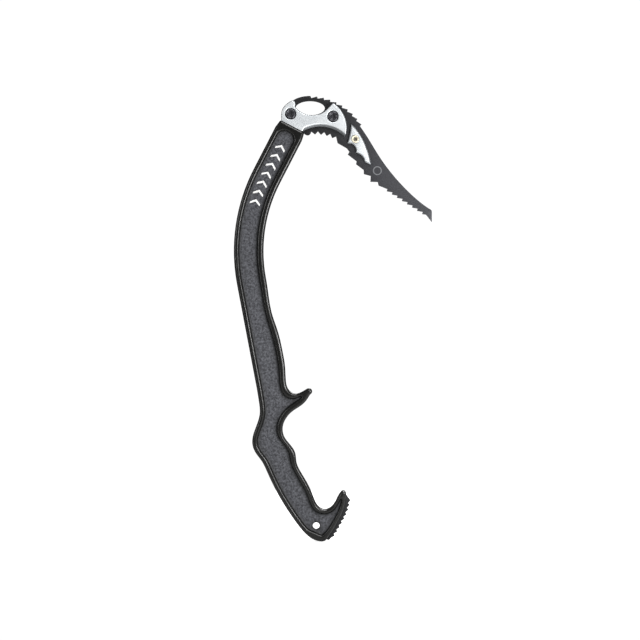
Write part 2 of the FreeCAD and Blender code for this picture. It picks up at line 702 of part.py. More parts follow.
PIECES.append(shaft_overmold)

# ---------------------------------------------------------------------------------------------
# Pick weights, one on each face of the pick

for label, side in (("pick_weight_left", 1), ("pick_weight_right", -1)):
    weight = new_body(label)
    crescent = weight.newObject("PartDesign::Pad", label + "_plate")
    outline = new_sketch(weight, label + "_outline", weight_outline())
    outline.setExpression("AttachmentOffset.Base.z", "%d * Sizes.pick_thick / 2" % side)
    crescent.Profile = outline
    crescent.Reversed = side < 0
    crescent.setExpression("Length", "Sizes.weight_thick")
    doc.recompute()
    face_at = size("pick_thick") / 2 + size("weight_thick")
    softened = weight.newObject("PartDesign::Chamfer", label + "_edge")
    names = []
    for number, face in enumerate(crescent.Shape.Faces, start=1):
        if abs(abs(face.CenterOfMass.y) - face_at) < 1e-6:
            names.append("Face%d" % number)
    softened.Base = (crescent, names)
    softened.setExpression("Size", "Sizes.weight_edge")
    doc.recompute()
    hole(weight, label + "_hole", WEIGHT_SCREW, SCREW_HOLE, "4 * Sizes.weight_thick")
    PIECES.append(weight)


# ---------------------------------------------------------------------------------------------
# Fasteners. Each is a socket screw from the near side in a sleeve nut from the far side.

def screw(label, centre, seat, head_radius, head_tall, shank, reach, key, key_deep, sides):
    """Screw whose head sits on a seat this far from the mid-plane; sizes are expressions."""
    top = "-(%s) - (%s)" % (seat, head_tall)
    head_bar = bar(label + "_head", centre, top, head_tall, head_radius)
    shank_bar = bar(label + "_shank", centre, "-(%s)" % seat, "%s + %s" % (seat, reach), shank)
    whole = joined(label + "_blank", [head_bar, shank_bar])
    socket = doc.addObject("Part::Prism", label + "_socket")
    socket.Polygon = sides
    turn = FreeCAD.Rotation(Vector(1, 0, 0), -90)
    socket.Placement = FreeCAD.Placement(Vector(centre[0], 0, centre[1]), turn)
    socket.setExpression("Placement.Base.y", top)
    socket.setExpression("Height", key_deep)
    socket.setExpression("Circumradius", key)
    made = cut(label, whole, socket)
    PIECES.append(made)


def sleeve_nut(label, centre, seat, head_radius, head_tall, shank, sleeve_short):
    """Sleeve nut whose head sits on the far seat; its sleeve stops short of the screw's head."""
    head_bar = bar(label + "_head", centre, seat, head_tall, head_radius)
    sleeve = bar(label + "_sleeve", centre, "-(%s) + %s" % (seat, sleeve_short),
                 "2 * (%s) - %s" % (seat, sleeve_short), shank + " + Sizes.sleeve_wall")
    whole = joined(label + "_blank", [head_bar, sleeve])
    bore = bar(label + "_bore", centre, "-(%s)" % seat, "2 * (%s) + %s" % (seat, head_tall),
               shank + " + Sizes.hole_play")
    made = cut(label, whole, bore)
    PIECES.append(made)


HEX = " / 3 ^ 0.5"
for label, centre in (("rear", REAR_BOLT), ("front", FRONT_BOLT)):
    screw("head_bolt_" + label, centre, SEAT, "Sizes.bolt_head / 2", "Sizes.bolt_head_tall",
          "Sizes.bolt_shank / 2", SEAT + " + Sizes.bolt_head_tall - Sizes.bolt_short",
          "Sizes.bolt_key" + HEX, "Sizes.bolt_key_deep", 6)
    sleeve_nut("head_nut_" + label, centre, SEAT, "Sizes.bolt_head / 2", "Sizes.bolt_head_tall",
               "Sizes.bolt_shank / 2", "Sizes.sleeve_short")

WEIGHT_SEAT = "Sizes.pick_thick / 2 + Sizes.weight_thick"
screw("weight_screw", WEIGHT_SCREW, WEIGHT_SEAT, "Sizes.screw_head / 2", "Sizes.screw_head_tall",
      "Sizes.screw_shank / 2", WEIGHT_SEAT + " + Sizes.screw_head_tall - Sizes.screw_short",
      "Sizes.screw_key / 2", "Sizes.screw_key_deep", 6)
sleeve_nut("weight_nut", WEIGHT_SCREW, WEIGHT_SEAT, "Sizes.screw_head / 2",
           "Sizes.screw_head_tall", "Sizes.screw_shank / 2", "Sizes.sleeve_short")
for label, place in SPIKE_PINS:
    pin = bar(label, place, "-Sizes.boss_thick / 2", "Sizes.boss_thick", "Sizes.spike_pin / 2")
    pin.Label = label
    PIECES.append(pin)

# ---------------------------------------------------------------------------------------------
# Every feature and piece must be sound before anything is written

doc.recompute()
for feature in doc.Objects:
    if "Invalid" in feature.State or "Error" in feature.State:
        raise RuntimeError("%s: %s" % (feature.Label, feature.State))
for piece in PIECES:
    if piece.Shape.isNull() or not piece.Shape.isValid():
        raise RuntimeError(piece.Label + " has no sound shape")
    if len(piece.Shape.Solids) != 1:
        raise RuntimeError("%s has %d solids" % (piece.Label, len(piece.Shape.Solids)))
for piece in PIECES:
    piece.Shape.exportStep(os.path.join("parts", piece.Label + ".step"))
    print("%-20s %10.1f mm3" % (piece.Label, piece.Shape.Volume))
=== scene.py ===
import math

import bmesh
import bpy
import numpy as np
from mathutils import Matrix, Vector


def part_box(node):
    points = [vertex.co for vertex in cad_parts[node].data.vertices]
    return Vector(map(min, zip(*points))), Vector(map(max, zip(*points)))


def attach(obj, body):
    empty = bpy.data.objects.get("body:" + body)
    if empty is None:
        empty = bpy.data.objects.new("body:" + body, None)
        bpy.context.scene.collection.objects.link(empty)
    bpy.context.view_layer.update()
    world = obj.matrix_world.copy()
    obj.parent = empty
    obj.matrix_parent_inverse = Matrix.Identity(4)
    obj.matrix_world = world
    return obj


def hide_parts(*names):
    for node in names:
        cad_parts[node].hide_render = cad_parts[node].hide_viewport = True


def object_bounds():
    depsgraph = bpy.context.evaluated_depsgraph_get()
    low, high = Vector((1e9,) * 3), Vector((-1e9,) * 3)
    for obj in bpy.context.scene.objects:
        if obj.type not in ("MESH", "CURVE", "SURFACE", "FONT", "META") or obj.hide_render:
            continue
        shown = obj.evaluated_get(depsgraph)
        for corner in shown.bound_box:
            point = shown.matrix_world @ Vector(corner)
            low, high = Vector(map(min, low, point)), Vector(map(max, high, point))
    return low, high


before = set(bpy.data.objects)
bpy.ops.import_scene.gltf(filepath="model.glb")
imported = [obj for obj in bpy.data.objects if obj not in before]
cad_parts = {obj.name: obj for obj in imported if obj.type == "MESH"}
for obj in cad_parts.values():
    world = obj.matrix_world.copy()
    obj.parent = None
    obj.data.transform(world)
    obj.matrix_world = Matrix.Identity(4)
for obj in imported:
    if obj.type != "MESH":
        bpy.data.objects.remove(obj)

# Leashless ice tool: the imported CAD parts, with the rubber, the forged head, the steel plates and
# the fasteners made again as finished surfaces. x points to the pick, z up the handle, y across.

mm = 0.001
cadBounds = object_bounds()

edgeTurns = {
    "flatWithin": 0.3,  # degrees: faces closer to flat than this are joined before a rounding
    "plateFlatWithin": 0.5,
    "rounded": 40,  # degrees: edges of the moulded and forged bodies sharper than this
    "plateRounded": 35,
    "plateCrease": 28,  # degrees: edges sharper than this are shaded as creases
    "fastenerCrease": 24,
    "printCrease": 20,
}

# ---- small helpers ----


def linearFromHex(text, alpha=1.0):
    parts = [int(text[place:place + 2], 16) / 255 for place in (1, 3, 5)]
    linear = [part / 12.92 if part <= 0.04045 else ((part + 0.055) / 1.055) ** 2.4
              for part in parts]
    return (*linear, alpha)


def addNode(tree, kind, settings=None, links=None):
    # settings: property or input name to value; links: input name or number to output socket
    node = tree.nodes.new(kind)
    for name, value in (settings or {}).items():
        if isinstance(name, str) and hasattr(node, name):
            setattr(node, name, value)
        else:
            node.inputs[name].default_value = value
    for name, output in (links or {}).items():
        tree.links.new(output, node.inputs[name])
    return node


def newMaterial(name, surface):
    # surface: values set straight on the shader's own sockets
    material = bpy.data.materials.new(name)
    material.use_nodes = True
    shader = material.node_tree.nodes["Principled BSDF"]
    for socket, value in surface.items():
        shader.inputs[socket].default_value = value
    return material, material.node_tree, shader


def copyOfNode(name):
    # merged copy of a CAD node's triangles
    made = bmesh.new()
    made.from_mesh(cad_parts[name].data)
    bmesh.ops.remove_doubles(made, verts=made.verts, dist=0.002 * mm)
    return made


def newObject(name, made):
    mesh = bpy.data.meshes.new(name)
    made.to_mesh(mesh)
    made.free()
    piece = bpy.data.objects.new(name, mesh)
    bpy.context.scene.collection.objects.link(piece)
    return piece


def applyModifiers(piece):
    # the evaluated shape becomes the piece's own mesh, with no modifier left
    graph = bpy.context.evaluated_depsgraph_get()
    made = bpy.data.meshes.new_from_object(piece.evaluated_get(graph))
    piece.modifiers.clear()
    piece.data = made
    made.name = piece.name
    return piece


def cutOff(made, point, normal):
    # drops what lies beyond the plane, on its normal's side, and closes the cut
    everything = made.verts[:] + made.edges[:] + made.faces[:]
    cut = bmesh.ops.bisect_plane(made, geom=everything, plane_co=point, plane_no=normal,
                                 clear_outer=True)
    rim = [part for part in cut["geom_cut"] if isinstance(part, bmesh.types.BMEdge)]
    bmesh.ops.holes_fill(made, edges=rim, sides=0)
    bmesh.ops.triangulate(made, faces=made.faces)


def roundEdges(made, width, chosen, steps=3):
    # rounds the sharp edges that chosen picks; where the rounding crosses itself, in a tight tip,
    # the remesh that follows takes the outside
    bmesh.ops.dissolve_limit(made, angle_limit=math.radians(edgeTurns["flatWithin"]),
                             verts=made.verts, edges=made.edges)
    sharp = [edge for edge in made.edges if edge.is_manifold
             and edge.calc_face_angle(0) > math.radians(edgeTurns["rounded"])
             and chosen(edge)]
    bmesh.ops.bevel(made, geom=sharp, offset=width, segments=steps, profile=0.5, affect="EDGES",
                    clamp_overlap=False)
    bmesh.ops.triangulate(made, faces=made.faces)


def softSolid(name, made, voxel, rounds):
    # even quads over the closed shapes in made, with their edges softened
    piece = newObject(name, made)
    remesh = piece.modifiers.new("evenQuads", "REMESH")
    remesh.mode = "VOXEL"
    remesh.voxel_size = voxel
    smooth = piece.modifiers.new("softEdges", "SMOOTH")
    smooth.factor = 0.5
    smooth.iterations = rounds
    return applyModifiers(piece)


def smoothStep(low, high, value):
    share = min(max((value - low) / (high - low), 0.0), 1.0)
    return share * share * (3 - 2 * share)


def paintMask(piece, name, rule):
    # one number for each point, from its place and its normal
    mask = piece.data.attributes.new(name, "FLOAT", "POINT")
    normals = piece.data.vertex_normals
    for number, vertex in enumerate(piece.data.vertices):
        mask.data[number].value = rule(vertex.co, normals[number].vector)


def spreadMask(piece, name, spreadName, rounds):
    # the same numbers blurred over the surface, as a second attribute
    mesh = piece.data
    ends = np.empty(len(mesh.edges) * 2, dtype=np.int64)
    mesh.edges.foreach_get("vertices", ends)
    first, second = ends[0::2], ends[1::2]
    values = np.empty(len(mesh.vertices), dtype=np.float32)
    mesh.attributes[name].data.foreach_get("value", values)
    around = np.bincount(ends, minlength=len(values)).clip(min=1)
    for _ in range(rounds):
        total = (np.bincount(first, weights=values[second], minlength=len(values))
                 + np.bincount(second, weights=values[first], minlength=len(values)))
        values = 0.5 * values + 0.5 * total / around
    spread = mesh.attributes.new(spreadName, "FLOAT", "POINT")
    spread.data.foreach_set("value", values.astype(np.float32))


def finishPiece(piece, material, nodes, sharpAngle=None):
    piece.data.materials.clear()
    piece.data.materials.append(material)
    piece.data.polygons.foreach_set("material_index", [0] * len(piece.data.polygons))
    piece.data.shade_smooth()
    if sharpAngle is not None:
        piece.data.set_sharp_from_angle(angle=math.radians(sharpAngle))
    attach(piece, "root")
    if nodes:
        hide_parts(*nodes)


# ---- camera, light and floor ----

stageSetup = {
    "aim": (4.2 * mm, 230.6 * mm),  # x and z that the camera looks at
    "viewWidth": 718.3 * mm,
    "lens": 135.0,
    "floorSize": 0.8,
    "floorColour": "#F4F4F3",
    "floorGlow": 0.75,
    "ambient": 0.13,
}


def makeStage():
    scene = bpy.context.scene
    camera = bpy.data.objects.new("camera", bpy.data.cameras.new("camera"))
    camera.data.lens = stageSetup["lens"]
    distance = stageSetup["viewWidth"] * stageSetup["lens"] / camera.data.sensor_width
    camera.location = (stageSetup["aim"][0], -distance, stageSetup["aim"][1])
    camera.rotation_euler = (math.radians(90), 0, 0)
    camera.data.clip_end = 50
    scene.collection.objects.link(camera)
    scene.camera = camera
    scene.view_settings.view_transform = "Standard"

    floorMesh = bmesh.new()
    bmesh.ops.create_grid(floorMesh, x_segments=1, y_segments=1, size=stageSetup["floorSize"])
    floor = newObject("floor", floorMesh)
    floor.location = (0, 0, cadBounds[0][2] - 0.3 * mm)
    # pale acrylic sheet, lit through so that it runs into the white behind it
    paint, tree, shader = newMaterial("pale acrylic studio floor", {
        "Base Color": linearFromHex(stageSetup["floorColour"]), "Roughness": 0.9,
        "Emission Color": (1, 1, 1, 1)})
    direct = addNode(tree, "ShaderNodeLightPath").outputs["Is Camera Ray"]
    glow = addNode(tree, "ShaderNodeMath", {"operation": "MULTIPLY", 1: stageSetup["floorGlow"]},
                   {0: direct})
    tree.links.new(glow.outputs[0], shader.inputs["Emission Strength"])
    floor.data.materials.append(paint)

    world = bpy.data.worlds.new("light tent")
    scene.world = world
    world.use_nodes = True
    tree = world.node_tree
    background = tree.nodes["Background"]
    seen = addNode(tree, "ShaderNodeLightPath")
    level = addNode(tree, "ShaderNodeMapRange",
                    {"To Min": stageSetup["ambient"], "To Max": 1.05},
                    {"Value": seen.outputs["Is Camera Ray"]})
    background.inputs["Color"].default_value = (1, 1, 1, 1)
    tree.links.new(level.outputs["Result"], background.inputs["Strength"])

    # name, place, size, watts: a broad key from the upper right, a strip along each side
    lamps = [
        ("keyPanel", (0.45, -1.5, 1.7), (0.8, 0.6), 23),
        ("fillPanel", (-1.3, -1.4, 0.7), (0.6, 0.6), 6),
        ("shaftPanel", (0.26, -0.4, 0.24), (0.14, 0.16), 2.2),
        ("leftStrip", (-0.9, -0.8, 0.25), (0.04, 1.3), 2.5),
        ("rightStrip", (1.0, -0.75, 0.2), (0.04, 1.3), 3),
        ("backPanel", (0.3, 1.6, 1.3), (1.0, 1.0), 22),
    ]
    for name, place, size, watts in lamps:
        lamp = bpy.data.lights.new(name, "AREA")
        lamp.shape = "RECTANGLE"
        lamp.size, lamp.size_y = size
        lamp.energy = watts
        holder = bpy.data.objects.new(name, lamp)
        holder.location = place
        toward = Vector((stageSetup["aim"][0], 0, stageSetup["aim"][1])) - Vector(place)
        holder.rotation_euler = toward.to_track_quat("-Z", "Y").to_euler()
        scene.collection.objects.link(holder)
    print("stage: camera at", round(distance, 3), "m,", len(lamps), "lamps")


makeStage()

# ---- materials ----


def mouldedRubber():
    # Thermoplastic rubber from a polished mould with eroded panels: near-black, satin rims and a
    # fine pebble grain, a little greyer, in the panels.
    grainSize = 1.1 * mm  # spark-eroded pebble, about 1 mm
    material, tree, shader = newMaterial("moulded black rubber", {
        "IOR": 1.5, "Specular IOR Level": 0.36})
    place = addNode(tree, "ShaderNodeTexCoord").outputs["Object"]
    panel = addNode(tree, "ShaderNodeAttribute", {"attribute_name": "panelMask"}).outputs["Fac"]
    pebble = addNode(tree, "ShaderNodeTexNoise",
                     {"Scale": 1 / grainSize, "Detail": 3.0, "Roughness": 0.6}, {"Vector": place})
    speck = addNode(tree, "ShaderNodeTexNoise",
                    {"Scale": 0.45 / grainSize, "Detail": 5.0, "Roughness": 0.7}, {"Vector": place})
    cloud = addNode(tree, "ShaderNodeTexNoise", {"Scale": 1 / (38 * mm), "Detail": 2.0},
                    {"Vector": place})
    # panel colour: two greys broken up by the grain
    grey = addNode(tree, "ShaderNodeValToRGB", None, {"Fac": speck.outputs["Fac"]})
    grey.color_ramp.elements[0].position = 0.4
    grey.color_ramp.elements[0].color = linearFromHex("#222327")
    grey.color_ramp.elements[1].position = 0.64
    grey.color_ramp.elements[1].color = linearFromHex("#535459")
    rimColour = addNode(tree, "ShaderNodeRGB").outputs[0]
    rimColour.default_value = linearFromHex("#0E0E0D")
    # towards its border the panel is painted darker: painted shade where the rim's walls shade the
    # recess
    middle = addNode(tree, "ShaderNodeAttribute", {"attribute_name": "panelMiddle"}).outputs["Fac"]
    borderShade = addNode(tree, "ShaderNodeMapRange", {"From Min": 0.5, "From Max": 0.95,
                                                  "To Min": 0.4, "To Max": 1.0},
                     {"Value": middle})
    inside = addNode(tree, "ShaderNodeMath", {"operation": "MULTIPLY"},
                     {0: panel, 1: borderShade.outputs["Result"]})
    colour = addNode(tree, "ShaderNodeMix", {"data_type": "RGBA"},
                     {0: inside.outputs[0], 6: rimColour, 7: grey.outputs["Color"]})
    tree.links.new(colour.outputs[2], shader.inputs["Base Color"])
    shine = addNode(tree, "ShaderNodeMapRange", {"To Min": 0.22, "To Max": 0.58}, {"Value": panel})
    handled = addNode(tree, "ShaderNodeMath", {"operation": "MULTIPLY_ADD", 1: 0.12},
                      {0: cloud.outputs["Fac"], 2: shine.outputs["Result"]})
    tree.links.new(handled.outputs[0], shader.inputs["Roughness"])
    lift = addNode(tree, "ShaderNodeMapRange", {"To Min": 0.06, "To Max": 0.55}, {"Value": panel})
    bump = addNode(tree, "ShaderNodeBump", {"Distance": 0.35 * mm},
                   {"Height": pebble.outputs["Fac"], "Strength": lift.outputs["Result"]})
    tree.links.new(bump.outputs["Normal"], shader.inputs["Normal"])
    return material


def blastedMetal(name, light, shade, dull):
    # Bead-blasted bare metal: pale, soft highlights, with a fine matt grain and faint cloudiness
    # left by the blasting. Edges marked in the mask are painted darker with the shade colour, as
    # painted shade.
    grit = 0.5 * mm  # real grain is 0.1 mm, drawn coarser so that it shows
    material, tree, shader = newMaterial(name, {"Metallic": 1.0})
    place = addNode(tree, "ShaderNodeTexCoord").outputs["Object"]
    grain = addNode(tree, "ShaderNodeTexNoise",
                    {"Scale": 1 / grit, "Detail": 2.0, "Roughness": 0.5}, {"Vector": place})
    cloud = addNode(tree, "ShaderNodeTexNoise", {"Scale": 1 / (14 * mm), "Detail": 3.0},
                    {"Vector": place})
    shadeMask = addNode(tree, "ShaderNodeAttribute", {"attribute_name": "edgeMask"}).outputs["Fac"]
    tone = addNode(tree, "ShaderNodeValToRGB", None, {"Fac": cloud.outputs["Fac"]})
    tone.color_ramp.elements[0].position = 0.3
    tone.color_ramp.elements[0].color = linearFromHex(light[0])
    tone.color_ramp.elements[1].position = 0.75
    tone.color_ramp.elements[1].color = linearFromHex(light[1])
    # painted shade: the marked edges are mixed towards the darker shade colour
    darker = addNode(tree, "ShaderNodeMix", {"data_type": "RGBA", 7: linearFromHex(shade)},
                     {0: shadeMask, 6: tone.outputs["Color"]})
    tree.links.new(darker.outputs[2], shader.inputs["Base Color"])
    rough = addNode(tree, "ShaderNodeMapRange", {"To Min": dull - 0.06, "To Max": dull + 0.08},
                    {"Value": grain.outputs["Fac"]})
    tree.links.new(rough.outputs["Result"], shader.inputs["Roughness"])
    bump = addNode(tree, "ShaderNodeBump", {"Distance": 0.05 * mm, "Strength": 0.35},
                   {"Height": grain.outputs["Fac"]})
    tree.links.new(bump.outputs["Normal"], shader.inputs["Normal"])
    return material


def phosphatedSteel(name, body, worn, markAt=None, bladeFrom=None):
    # Tool steel with a black phosphate coat: charcoal, matt and finely crystalline, rubbed to
    # grey steel along its edges.
    crystal = 0.7 * mm  # real crystals are 0.02 mm, drawn coarser so that they show
    material, tree, shader = newMaterial(name, {"Metallic": 0.55})
    place = addNode(tree, "ShaderNodeTexCoord").outputs["Object"]
    grain = addNode(tree, "ShaderNodeTexNoise",
                    {"Scale": 1 / crystal, "Detail": 4.0, "Roughness": 0.65}, {"Vector": place})
    cloud = addNode(tree, "ShaderNodeTexNoise", {"Scale": 1 / (11 * mm), "Detail": 4.0},
                    {"Vector": place})
    tone = addNode(tree, "ShaderNodeValToRGB", None, {"Fac": grain.outputs["Fac"]})
    tone.color_ramp.elements[0].position = 0.34
    tone.color_ramp.elements[0].color = linearFromHex(body[0])
    tone.color_ramp.elements[1].position = 0.7
    tone.color_ramp.elements[1].color = linearFromHex(body[1])
    edge = addNode(tree, "ShaderNodeAttribute", {"attribute_name": "edgeMask"}).outputs["Fac"]
    rubbed = addNode(tree, "ShaderNodeMath", {"operation": "MULTIPLY"},
                     {0: edge, 1: cloud.outputs["Fac"]})
    mixed = addNode(tree, "ShaderNodeMix", {"data_type": "RGBA", 7: linearFromHex(worn)},
                    {0: rubbed.outputs[0], 6: tone.outputs["Color"]}).outputs[2]
    if bladeFrom:
        # the colour is multiplied darker towards the arch and left full along the blade, by x
        apart = addNode(tree, "ShaderNodeSeparateXYZ", None, {0: place})
        ground = addNode(tree, "ShaderNodeMapRange",
                         {"From Min": bladeFrom[0], "From Max": bladeFrom[1], "To Min": 0.35,
                          "To Max": 1.0}, {"Value": apart.outputs["X"]})
        mixed = addNode(tree, "ShaderNodeMix",
                        {"data_type": "RGBA", "blend_type": "MULTIPLY", 0: 1.0},
                        {6: mixed, 7: ground.outputs["Result"]}).outputs[2]
    if markAt:
        # plain stamped ring, paler than the coat
        centre, radius, width = markAt
        offset = addNode(tree, "ShaderNodeVectorMath", {"operation": "SUBTRACT", 1: centre},
                         {0: place})
        flat = addNode(tree, "ShaderNodeVectorMath", {"operation": "MULTIPLY", 1: (1, 0, 1)},
                       {0: offset.outputs[0]})
        reach = addNode(tree, "ShaderNodeVectorMath", {"operation": "LENGTH"},
                        {0: flat.outputs[0]})
        away = addNode(tree, "ShaderNodeMath", {"operation": "SUBTRACT", 1: radius},
                       {0: reach.outputs["Value"]})
        off = addNode(tree, "ShaderNodeMath", {"operation": "ABSOLUTE"}, {0: away.outputs[0]})
        ring = addNode(tree, "ShaderNodeMapRange",
                       {"From Min": width, "From Max": width * 0.4, "To Max": 0.35},
                       {"Value": off.outputs[0]})
        mixed = addNode(tree, "ShaderNodeMix", {"data_type": "RGBA", 7: linearFromHex("#A9ABAE")},
                        {0: ring.outputs["Result"], 6: mixed}).outputs[2]
    tree.links.new(mixed, shader.inputs["Base Color"])
    rough = addNode(tree, "ShaderNodeMapRange", {"To Min": 0.42, "To Max": 0.62},
                    {"Value": cloud.outputs["Fac"]})
    tree.links.new(rough.outputs["Result"], shader.inputs["Roughness"])
    bump = addNode(tree, "ShaderNodeBump", {"Distance": 0.06 * mm, "Strength": 0.4},
                   {"Height": grain.outputs["Fac"]})
    tree.links.new(bump.outputs["Normal"], shader.inputs["Normal"])
    return material


def plainMetal(name, colour, dull, speckle, recess=None):
    # Turned and plated small parts: even colour with fine lathe-dulled speckle. recess gives how
    # far from the mid-plane (y) the painted shade in a socket starts and ends.
    material, tree, shader = newMaterial(name, {"Metallic": 0.9})
    place = addNode(tree, "ShaderNodeTexCoord").outputs["Object"]
    grain = addNode(tree, "ShaderNodeTexNoise", {"Scale": 1 / (0.6 * mm), "Detail": 3.0},
                    {"Vector": place})
    tone = addNode(tree, "ShaderNodeValToRGB", None, {"Fac": grain.outputs["Fac"]})
    tone.color_ramp.elements[0].color = linearFromHex(colour[0])
    tone.color_ramp.elements[1].color = linearFromHex(colour[1])
    colourOut = tone.outputs["Color"]
    if recess:
        apart = addNode(tree, "ShaderNodeSeparateXYZ", None, {0: place})
        level = addNode(tree, "ShaderNodeMath", {"operation": "ABSOLUTE"},
                        {0: apart.outputs["Y"]})
        # painted shade: the socket is painted darker the deeper it goes
        socketShade = addNode(tree, "ShaderNodeMapRange",
                       {"From Min": recess[0], "From Max": recess[1], "To Min": 0.0,
                        "To Max": 0.85}, {"Value": level.outputs[0]})
        colourOut = addNode(tree, "ShaderNodeMix", {"data_type": "RGBA",
                                                    7: linearFromHex("#2A2622")},
                            {0: socketShade.outputs["Result"], 6: colourOut}).outputs[2]
    tree.links.new(colourOut, shader.inputs["Base Color"])
    rough = addNode(tree, "ShaderNodeMapRange",
                    {"To Min": dull - speckle, "To Max": dull + speckle},
                    {"Value": grain.outputs["Fac"]})
    tree.links.new(rough.outputs["Result"], shader.inputs["Roughness"])
    return material


def padPrintInk():
    # Pad-printed two-part ink: flat white with faint pinholes where it bridges the rubber's grain.
    material, tree, shader = newMaterial("pad printed white ink", {"Roughness": 0.55})
    place = addNode(tree, "ShaderNodeTexCoord").outputs["Object"]
    grain = addNode(tree, "ShaderNodeTexNoise", {"Scale": 1 / (0.8 * mm), "Detail": 3.0},
                    {"Vector": place})
    tone = addNode(tree, "ShaderNodeValToRGB", None, {"Fac": grain.outputs["Fac"]})
    tone.color_ramp.elements[0].position = 0.3
    tone.color_ramp.elements[0].color = linearFromHex("#8F8F8E")
    tone.color_ramp.elements[1].position = 0.5
    tone.color_ramp.elements[1].color = linearFromHex("#E4E4E2")
    tree.links.new(tone.outputs["Color"], shader.inputs["Base Color"])
    return material


# ---- rubber ----

rubberLook = {
    "voxel": 0.92 * mm,
    "softening": 7,
    "lipRound": 1.5 * mm,  # rounding where the rim drops to the panel
    "shadeSpread": 60,  # rounds of blur for the panel's border of painted shade
    "collarLean": 27.3,  # degrees that the handle's top leans forward
    "panelLevel": 7.0 * mm,  # panel floor to the mid-plane
    "rimLevel": 11.0 * mm,
}
upperWay = Vector((math.sin(math.radians(rubberLook["collarLean"])), 0,
                   math.cos(math.radians(rubberLook["collarLean"]))))


def collarReach():
    # how far up the handle's direction the rubber's end face lies
    return max(vertex.co.dot(upperWay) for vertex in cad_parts["shaft_overmold"].data.vertices)


def makeRubber():
    look = rubberLook
    collarPoint = upperWay * collarReach()
    inside = copyOfNode("shaft_core")
    cutOff(inside, collarPoint, upperWay)
    skin = copyOfNode("shaft_overmold")

    def lipEdge(edge):
        return all(abs(abs(vertex.co.y) - rubberLook["rimLevel"]) < 0.05 * mm
                   for vertex in edge.verts)

    roundEdges(skin, look["lipRound"], lipEdge)
    core = bpy.data.meshes.new("coreInside")
    inside.to_mesh(core)
    inside.free()
    skin.from_mesh(core)
    bpy.data.meshes.remove(core)
    piece = softSolid("rubberHandle", skin, look["voxel"], look["softening"])
    level = (look["panelLevel"], look["rimLevel"])

    def panelRule(place, normal):
        low = 1 - smoothStep(level[0] + 0.3 * mm, level[0] + 0.55 * (level[1] - level[0]),
                             abs(place.y))
        return low * smoothStep(0.45, 0.9, abs(normal.y))

    paintMask(piece, "panelMask", panelRule)
    spreadMask(piece, "panelMask", "panelMiddle", look["shadeSpread"])
    finishPiece(piece, mouldedRubber(), ["shaft_overmold"])
    print("rubber:", len(piece.data.polygons), "quads")


makeRubber()

# ---- forged core and head ----

headLook = {
    "voxel": 0.5 * mm,
    "softening": 5,
    "edgeRound": 1.1 * mm,
    "cutBelowCollar": 4.0 * mm,  # the finished head ends this far inside the rubber
    "edgeTurn": (0.8, 0.97),
}


def makeHead():
    look = headLook
    cutPoint = upperWay * (collarReach() - look["cutBelowCollar"])
    top = copyOfNode("shaft_core")
    cutOff(top, cutPoint, -upperWay)
    cheekLevel = max(vertex.co.y for vertex in top.verts)
    roundEdges(top, look["edgeRound"],
               lambda edge: all(abs(abs(vertex.co.y) - cheekLevel) < 0.05 * mm
                                for vertex in edge.verts))
    piece = softSolid("forgedHead", top, look["voxel"], look["softening"])
    rest = copyOfNode("shaft_core")
    cutOff(rest, cutPoint, upperWay)
    whole = bmesh.new()
    whole.from_mesh(piece.data)
    hidden = bpy.data.meshes.new("hiddenCore")
    rest.to_mesh(hidden)
    rest.free()
    whole.from_mesh(hidden)
    bpy.data.meshes.remove(hidden)
    whole.to_mesh(piece.data)
    whole.free()

    # the rounded edges, which turn away from the flat cheeks, are painted darker: painted shade
    # where they turn from the light
    paintMask(piece, "edgeMask",
              lambda place, normal: 1 - smoothStep(*look["edgeTurn"], abs(normal.y)))
    metal = blastedMetal("bead blasted forged aluminium", ("#CDD1D4", "#E3E6E8"), "#8C8F92", 0.5)
    finishPiece(piece, metal, ["shaft_core"])
    print("head:", len(piece.data.polygons), "faces")


makeHead()

# ---- steel plates: pick, spike plate and weights ----


def bevelledPlate(name, node, width, steps=2):
    # copy of a CAD plate with its sharp edges rounded; the rounding is marked for wear on the
    # coated plates and for painted shade on the blasted weights
    made = copyOfNode(node)
    bmesh.ops.dissolve_limit(made, angle_limit=math.radians(edgeTurns["plateFlatWithin"]),
                             verts=made.verts, edges=made.edges)
    sharp = [edge for edge in made.edges if edge.is_manifold
             and edge.calc_face_angle(0) > math.radians(edgeTurns["plateRounded"])]
    layer = made.faces.layers.float.new("edgeMask")
    rounded = bmesh.ops.bevel(made, geom=sharp, offset=width, segments=steps, profile=0.6,
                              affect="EDGES", clamp_overlap=True)
    for face in made.faces:
        face[layer] = 0.0
    for face in rounded["faces"]:
        face[layer] = 1.0
    bmesh.ops.triangulate(made, faces=made.faces)
    return newObject(name, made)


plateLook = {
    "pickEdge": 0.35 * mm,
    "spikeEdge": 0.3 * mm,
    "weightEdge": 0.3 * mm,
    "tipHeight": 340.2 * mm,
    "markFromTip": (-61.2 * mm, 57.9 * mm),  # stamped ring, from the pick's tip
    "markRadius": 4.4 * mm,
    "markWidth": 0.7 * mm,
    "bladeFrom": (0 * mm, 75 * mm),  # x over which the colour goes from darker at the arch to full along the blade
}


